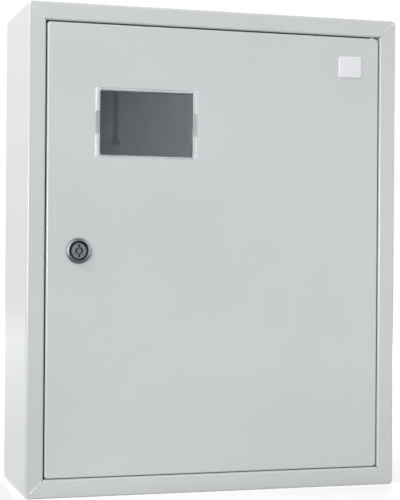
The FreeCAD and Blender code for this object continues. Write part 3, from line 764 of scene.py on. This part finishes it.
# %% [markdown]
# ## Rail screws
# Two pan-head screws hold the rail. The crown starts as a small grid: a cross of its faces is pushed in
# and narrowed to make the recess, and round loops carry its border out to the rim and down the shank.

# %% Rail screws
pan_radius = 4.6 * mm
pan_height = 3.0 * mm
pan_shank = 2.4 * mm
recess_depth = 1.7 * mm
recess_taper = 0.6
crown_share = 0.50
crown_cells = 7
# Shares of the head's radius and height, from the crown out to the rim and down to the seat.
pan_outline = ((0.82, 0.93), (0.94, 0.74), (1.0, 0.42), (1.0, 0.0))


def cross_recess_screw(shank_length):
    """Pan-head screw along +Z: its seat at 0, its head above and its shank below."""
    shape = bmesh.new()
    crown = crown_share * pan_radius
    cell = 2 * crown / crown_cells
    grid = bmesh.ops.create_grid(shape, x_segments=crown_cells, y_segments=crown_cells, size=crown)["verts"]
    bmesh.ops.translate(shape, verts=grid, vec=(0, 0, pan_height))
    border = [e for e in shape.edges if e.is_boundary]
    # The cross is one cell wide and five cells long each way.
    cross = []
    for face in shape.faces:
        near, far = sorted(abs(value) for value in face.calc_center_median().xy)
        if near < 0.5 * cell and far < 2.5 * cell:
            cross.append(face)
    sunk = only_verts(bmesh.ops.extrude_face_region(shape, geom=cross)["geom"])
    bmesh.ops.delete(shape, geom=cross, context="FACES")
    bmesh.ops.scale(shape, verts=sunk, vec=(recess_taper, recess_taper, 1.0))
    bmesh.ops.translate(shape, verts=sunk, vec=(0, 0, -recess_depth))
    loops = [border]
    sides = 4 * crown_cells
    for reach, level in pan_outline:
        loops.append(circle_loop(shape, reach * pan_radius, level * pan_height, sides))
    loops.append(circle_loop(shape, pan_shank, 0.0, sides))
    loops.append(circle_loop(shape, pan_shank, -shank_length, sides))
    bridge_row(shape, loops)
    bmesh.ops.edgeloop_fill(shape, edges=loops[-1])
    return shape


screw_low, screw_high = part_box("rail_screws")
seat_y = screw_low.y + pan_height
screw_z = (screw_low.z + screw_high.z) / 2
screw_places = [Vector((x, seat_y, screw_z)) for x in (screw_low.x + pan_radius, screw_high.x - pan_radius)]
pan_screws = cross_recess_screw(screw_high.y - seat_y)
place_along(pan_screws, screw_places[0], (0, -1, 0))
repeat_at(pan_screws, screw_places)
add_piece(pan_screws, "pan_head_rail_screws", "casing", [zinc], ["rail_screws"])

# %% [markdown]
# ## Weld beads
# The frame is mitred at its corners and tack-welded, then ground and painted, so the mitres keep lumpy
# lines; the one at the lower right is ground almost flat. The others carry pale and dark blotches, painted
# highlight and shade. A narrow grid along each mitre, raised by a smooth noise and sunk again at its edges,
# looks more like ground weld than a bump map does, because its lumps catch the light as real ones.

# %% Weld beads on the mitres
casing_low, casing_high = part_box("casing")
door_low, door_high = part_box("door")
door_gap = 1.4 * mm
door_gap_below = 0.7 * mm
bead_width = 3.0 * mm
bead_height = 0.40 * mm
bead_root = 0.3 * mm
bead_cells_along = 64
bead_cells_across = 10
lumps_along = 9
lumps_across = 1.1
end_slope = 8
mean_rise = 0.55
lump_rise = 0.9
least_spread = 0.6
strength_spread = 0.2
lump_spread = 0.4
ground_flat = 0.5
mitre_start = 1.7 * mm
mitre_end_inset = 2.3 * mm


def weld_bead(shape, start, end, strength, seed):
    """Lumpy strip on the front face between two points: its ends fade out and its edges sink."""
    along = end - start
    aside = along.normalized().cross(Vector((0, 1, 0)))
    grid = bmesh.ops.create_grid(
        shape, x_segments=bead_cells_along, y_segments=bead_cells_across, size=0.5
    )["verts"]
    own = set(grid)
    faces = [f for f in shape.faces if f.verts[0] in own]
    for vert in grid:
        share = vert.co.x + 0.5
        side = 2 * vert.co.y
        lump = lumps.noise(Vector((lumps_along * share, lumps_across * side, seed)))
        fade = min(1.0, end_slope * share, end_slope * (1 - share))
        rise = bead_height * strength * fade * (1 - side ** 4) * (mean_rise + lump_rise * lump)
        breadth = least_spread + strength_spread * strength + lump_spread * lump
        spread = side * bead_width / 2 * breadth
        vert.co = start + along * share + aside * spread + Vector((0, -max(rise, 0.0), 0))
    for face in faces:
        # Painted highlight and shade go on every bead but the flattest, which gets plain paint.
        face.material_index = 0 if strength > ground_flat else 1
    roots = only_verts(bmesh.ops.extrude_face_region(shape, geom=faces)["geom"])
    bmesh.ops.translate(shape, verts=roots, vec=(0, bead_root, 0))


def weld_coat_with_painted_light():
    """Powder coat over ground weld, with pale and dark blotches from noise as painted highlight and shade.
    """
    material, tree, shader, coordinates = start_finish("weld_coat_with_painted_light")
    painted_light_spots = noise(tree, coordinates, 420.0, 3.0)
    # Painted highlight and shade: pale and dark blotches from noise.
    colour = colour_between(tree, painted_light_spots, (0.47, 0.485, 0.49), (0.74, 0.75, 0.755), 0.38, 0.62)
    tree.links.new(colour, shader.inputs["Base Color"])
    tree.links.new(value_between(tree, painted_light_spots, 0.42, 0.30), shader.inputs["Roughness"])
    shader.inputs["Coat Weight"].default_value = 0.6
    shader.inputs["Coat Roughness"].default_value = 0.16
    return material


mitre_strength = {(-1, 1): 1.0, (1, 1): 0.9, (-1, -1): 0.6, (1, -1): 0.35}
beads = bmesh.new()
for (side_x, side_z), strength in mitre_strength.items():
    outward = Vector((side_x, 0, side_z))
    inner_x = door_high.x + door_gap if side_x > 0 else door_low.x - door_gap
    inner_z = door_high.z + door_gap if side_z > 0 else door_low.z - door_gap_below
    outer_x = casing_high.x if side_x > 0 else casing_low.x
    outer_z = casing_high.z if side_z > 0 else casing_low.z
    start = Vector((inner_x, casing_low.y, inner_z)) + outward * mitre_start
    end = Vector((outer_x, casing_low.y, outer_z)) - outward * mitre_end_inset
    corner_seed = 3.1 * side_x + 1.7 * side_z
    weld_bead(beads, start, end, strength, corner_seed)
add_piece(beads, "weld_beads", "casing", [weld_coat_with_painted_light(), paint], smooth_angle=80)

# %% [markdown]
# ## Window
# The window is one clear moulding: a rim on the door's face, a tray through the door with the pane set
# back in it, and a snap hook on each side behind a low place in the rim. Every level of it is a rectangle
# with rounded corners, so a row of such loops, bridged, gives the whole moulding, and bevels soften the rim.

# %% Rounded loops for the window and the badge


def rounded_loop(shape, middle, width, height, radius, y):
    """Upright rectangular loop with rounded corners: one face whose corners are bevelled, then removed."""
    before = set(shape.faces)
    verts = bmesh.ops.create_grid(shape, x_segments=1, y_segments=1, size=0.5)["verts"]
    place = Matrix.Translation((middle.x, y, middle.z)) @ Matrix.Rotation(math.pi / 2, 4, "X")
    bmesh.ops.transform(shape, matrix=place @ Matrix.Diagonal((width, height, 1, 1)), verts=verts)
    bmesh.ops.bevel(
        shape, geom=verts, offset=radius, segments=5, profile=0.5, affect="VERTICES", material=-1
    )
    face = [f for f in shape.faces if f not in before][0]
    edges = list(face.edges)
    bmesh.ops.delete(shape, geom=[face], context="FACES_ONLY")
    return edges


def skin_levels(shape, middle, levels):
    """Closed skin over rounded loops: bridged while they lie well apart, then each moved to its level."""
    apart = 0.1
    loops = [rounded_loop(shape, middle, *size, apart * count) for count, (size, y) in enumerate(levels)]
    bridge_row(shape, loops)
    for cap in (loops[0], loops[-1]):
        bmesh.ops.edgeloop_fill(shape, edges=cap)
    for loop, (size, y) in zip(loops, levels):
        for edge in loop:
            for vert in edge.verts:
                vert.co.y = y
    bmesh.ops.recalc_face_normals(shape, faces=shape.faces)
    return loops


def round_over(shape, edges, radius):
    """Bevel edges and give back the faces that this makes."""
    return bmesh.ops.bevel(
        shape, geom=edges, offset=radius, segments=3, profile=0.5, affect="EDGES", material=-1
    )["faces"]


# %% Sizes of the window
window_low, window_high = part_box("meter_window")
window_middle = (window_low + window_high) / 2
window_width = window_high.x - window_low.x
window_height = window_high.z - window_low.z
rim_side = 4.4 * mm
rim_top = 3.6 * mm
rim_proud = 2.0 * mm
rim_clearance = 0.05 * mm
rim_corner = 2.4 * mm
tray_corner = 2.15 * mm
pane_corner = 1.15 * mm
rim_rounding = 0.5 * mm
mouth_rounding = 0.35 * mm
back_rounding = 0.25 * mm
wall_side = 1.8 * mm
wall_top = 1.0 * mm
pane_width = window_width - 2 * rim_side
pane_height = window_height - 2 * rim_top
tray_width = pane_width + 2 * wall_side
tray_height = pane_height + 2 * wall_top
rim_front = window_low.y
door_face = rim_front + rim_proud
pane_front = door_face + 1.0 * mm
pane_back = door_face + 3.0 * mm
tray_back = window_high.y
clip_half = 23.4 / 2 * mm
clip_draft = 0.2 * mm
clip_floor = door_face - 0.6 * mm
hook_start = door_face + 1.35 * mm
hook_end = door_face + 4.55 * mm
hook_reach = 1.75 * mm
print("window", round(window_width / mm, 1), "x", round(window_height / mm, 1), "mm")

# %% Shape of the window
hair = 0.01 * mm
margin = 0.1 * mm
clear_index, rim_index, highlight_edge_index, clip_index, lit_side_index = range(5)


def split_level(shape, point, normal):
    """Cut new edges across the whole shape on a plane."""
    bmesh.ops.bisect_plane(shape, geom=everything(shape), plane_co=point, plane_no=normal)


def window_levels():
    """Levels of the moulding, from its front pane over the rim and the tray to the back of its pane."""
    outer = (window_width, window_height, rim_corner)
    tray = (tray_width, tray_height, tray_corner)
    pane = (pane_width, pane_height, pane_corner)
    rest = door_face - rim_clearance
    return [
        (pane, pane_front),
        (pane, rim_front),
        (outer, rim_front),
        (outer, rest),
        (tray, rest),
        (tray, tray_back),
        (pane, tray_back),
        (pane, pane_back),
    ]


def lower_rim_at_clips(shape):
    """Low place in the rim on each side, in front of a snap hook."""
    for reach in (clip_half, clip_half - clip_draft):
        for side in (-1, 1):
            split_level(shape, (0, 0, window_middle.z + side * reach), (0, 0, 1))
    for vert in shape.verts:
        in_clip = abs(vert.co.z - window_middle.z) < clip_half - clip_draft / 2
        on_rim = abs(vert.co.x - window_middle.x) > pane_width / 2 - hair
        if in_clip and on_rim:
            vert.co.y = max(vert.co.y, clip_floor)
    for face in shape.faces:
        spot = face.calc_center_median()
        in_clip = abs(spot.z - window_middle.z) < clip_half - clip_draft / 2
        on_rim = abs(spot.x - window_middle.x) > pane_width / 2 + margin
        # The low places in the rim take a darker finish: painted shade.
        if in_clip and on_rim and spot.y < door_face:
            face.material_index = clip_index


def add_hooks(shape):
    """Snap hooks drawn out of the tray's sides, with a ramp towards the back."""
    for y in (hook_start, hook_end):
        split_level(shape, (0, y, 0), (0, 1, 0))
    for side in (-1, 1):
        wall_x = window_middle.x + side * tray_width / 2
        faces = []
        for face in shape.faces:
            spot = face.calc_center_median()
            on_wall = abs(spot.x - wall_x) < hair and hook_start < spot.y < hook_end
            if on_wall and abs(spot.z - window_middle.z) < clip_half:
                faces.append(face)
        drawn = only_verts(bmesh.ops.extrude_face_region(shape, geom=faces)["geom"])
        bmesh.ops.delete(shape, geom=faces, context="FACES")
        tips = [v for v in drawn if v.co.y < hook_end - margin]
        bmesh.ops.translate(shape, verts=tips, vec=(side * hook_reach, 0, 0))


# %% Window moulding
sideways_share = 0.3


def looks_sideways(face):
    """Whether a face is turned well to the left or to the right."""
    return abs(face.normal.x) > sideways_share


def finish_of(face):
    """Which finish a face of the moulding takes, by its place and the way it looks."""
    spot = face.calc_center_median()
    if len(face.verts) > 4:
        return clear_index
    if spot.y > door_face:
        return rim_index
    # Faces turned to the sides are the rim's edges there: painted highlight.
    if looks_sideways(face):
        return highlight_edge_index
    # The rim's front on its upright sides: painted lighter, as lit.
    if abs(spot.x - window_middle.x) > pane_width / 2 + margin:
        return lit_side_index
    return rim_index


def window_moulding():
    """The whole moulding, each of its faces with its finish."""
    shape = bmesh.new()
    loops = skin_levels(shape, window_middle, window_levels())
    shape.normal_update()
    for face in shape.faces:
        face.material_index = finish_of(face)
    rounded = (
        (loops[2], rim_rounding),
        (loops[1], mouth_rounding),
        (loops[5] + loops[6], back_rounding),
    )
    for edges, radius in rounded:
        for face in round_over(shape, edges, radius):
            # Bevels that face the sides take the painted highlight.
            face.material_index = highlight_edge_index if looks_sideways(face) else rim_index
    lower_rim_at_clips(shape)
    add_hooks(shape)
    return shape


# %% [markdown]
# Clear plastic is all transmission: its look comes from what is behind it and from the light that its
# edges bend. A path tracer gives clear things a black shadow, so rays on their way to a lamp are let
# straight through, and the plate behind the window is lit. The pane lets only a small part of them through,
# and its grey tint is painted shade that darkens the box's inside. The rim is clear and greyish above and
# below; its upright sides are painted lighter, as lit, their edges almost white as painted highlights, and
# the low places at the clips darker as painted shade.

# %% Clear plastic
plastic_ior = 1.49


def clear_moulding(name, dark, light, clearness, roughness, passed=1.0):
    """Plastic that lets a share of the lamps' light straight through; less clear copies carry painted light
    and shade.
    """
    material, tree, shader, coordinates = start_finish(name)
    haze = noise(tree, coordinates, 90.0)
    tree.links.new(colour_between(tree, haze, dark, light), shader.inputs["Base Color"])
    shader.inputs["Transmission Weight"].default_value = clearness
    shader.inputs["IOR"].default_value = plastic_ior
    tree.links.new(value_between(tree, haze, roughness, roughness + 0.02), shader.inputs["Roughness"])
    light_path = tree.nodes.new("ShaderNodeLightPath")
    passing = tree.nodes.new("ShaderNodeBsdfTransparent")
    passing.inputs["Color"].default_value = (passed, passed, passed, 1.0)
    either = tree.nodes.new("ShaderNodeMixShader")
    tree.links.new(light_path.outputs["Is Shadow Ray"], either.inputs["Fac"])
    tree.links.new(shader.outputs["BSDF"], either.inputs[1])
    tree.links.new(passing.outputs["BSDF"], either.inputs[2])
    tree.links.new(either.outputs["Shader"], tree.nodes["Material Output"].inputs["Surface"])
    return material


window_finishes = [
    # The pane's grey tint is painted shade over the box's inside; the edge and side finishes are painted
    # light, the clip finish painted shade.
    clear_moulding("clear_pane", (0.62, 0.645, 0.68), (0.64, 0.665, 0.70), 1.0, 0.01, passed=0.08),
    clear_moulding("clear_rim", (0.60, 0.615, 0.64), (0.63, 0.645, 0.66), 0.86, 0.04),
    clear_moulding("edge_painted_highlight", (0.94, 0.95, 0.96), (0.96, 0.97, 0.97), 0.15, 0.12),
    clear_moulding("clip_painted_shade", (0.44, 0.45, 0.465), (0.48, 0.49, 0.505), 0.35, 0.10),
    clear_moulding("side_painted_light", (0.68, 0.69, 0.71), (0.72, 0.73, 0.75), 0.35, 0.10),
]
add_piece(
    window_moulding(),
    "window_moulding",
    "door",
    window_finishes,
    ["meter_window"],
    smooth_angle=30,
)

# %% [markdown]
# ## Badge
# A tablet of white plastic under a clear resin dome, stuck to the door and left blank. Loops that shrink as
# they rise, closest together near the border, follow the dome; a glossy coat on the shader is the resin.

# %% Badge
badge_low, badge_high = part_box("door_badge")
badge_middle = (badge_low + badge_high) / 2
badge_corner = 3.0 * mm
# Inset in millimetres and share of the thickness, from the door's face up to the crown.
dome = ((0.0, 0.0), (0.0, 0.40), (0.15, 0.62), (0.5, 0.80), (1.2, 0.91), (2.4, 0.97), (2.95, 1.0))


def domed_badge():
    shape = bmesh.new()
    thickness = badge_high.y - badge_low.y
    levels = []
    for inset, rise in dome:
        width = badge_high.x - badge_low.x - 2 * inset * mm
        height = badge_high.z - badge_low.z - 2 * inset * mm
        size = (width, height, badge_corner - inset * mm)
        levels.append((size, badge_high.y - rise * thickness))
    skin_levels(shape, badge_middle, levels)
    return shape


def resin_badge():
    material, tree, shader, coordinates = start_finish("white_under_resin")
    cloud = noise(tree, coordinates, 150.0)
    wave = noise(tree, coordinates, 60.0)
    colour = colour_between(tree, cloud, (0.71, 0.72, 0.745), (0.74, 0.75, 0.77))
    tree.links.new(colour, shader.inputs["Base Color"])
    tree.links.new(value_between(tree, cloud, 0.30, 0.36), shader.inputs["Roughness"])
    shader.inputs["Coat Weight"].default_value = 1.0
    shader.inputs["Coat Roughness"].default_value = 0.03
    tree.links.new(bump(tree, wave, 0.1 * mm, 0.1), shader.inputs["Coat Normal"])
    return material


badge = domed_badge()
add_piece(badge, "domed_badge", "door", [resin_badge()], ["door_badge"], smooth_angle=60)
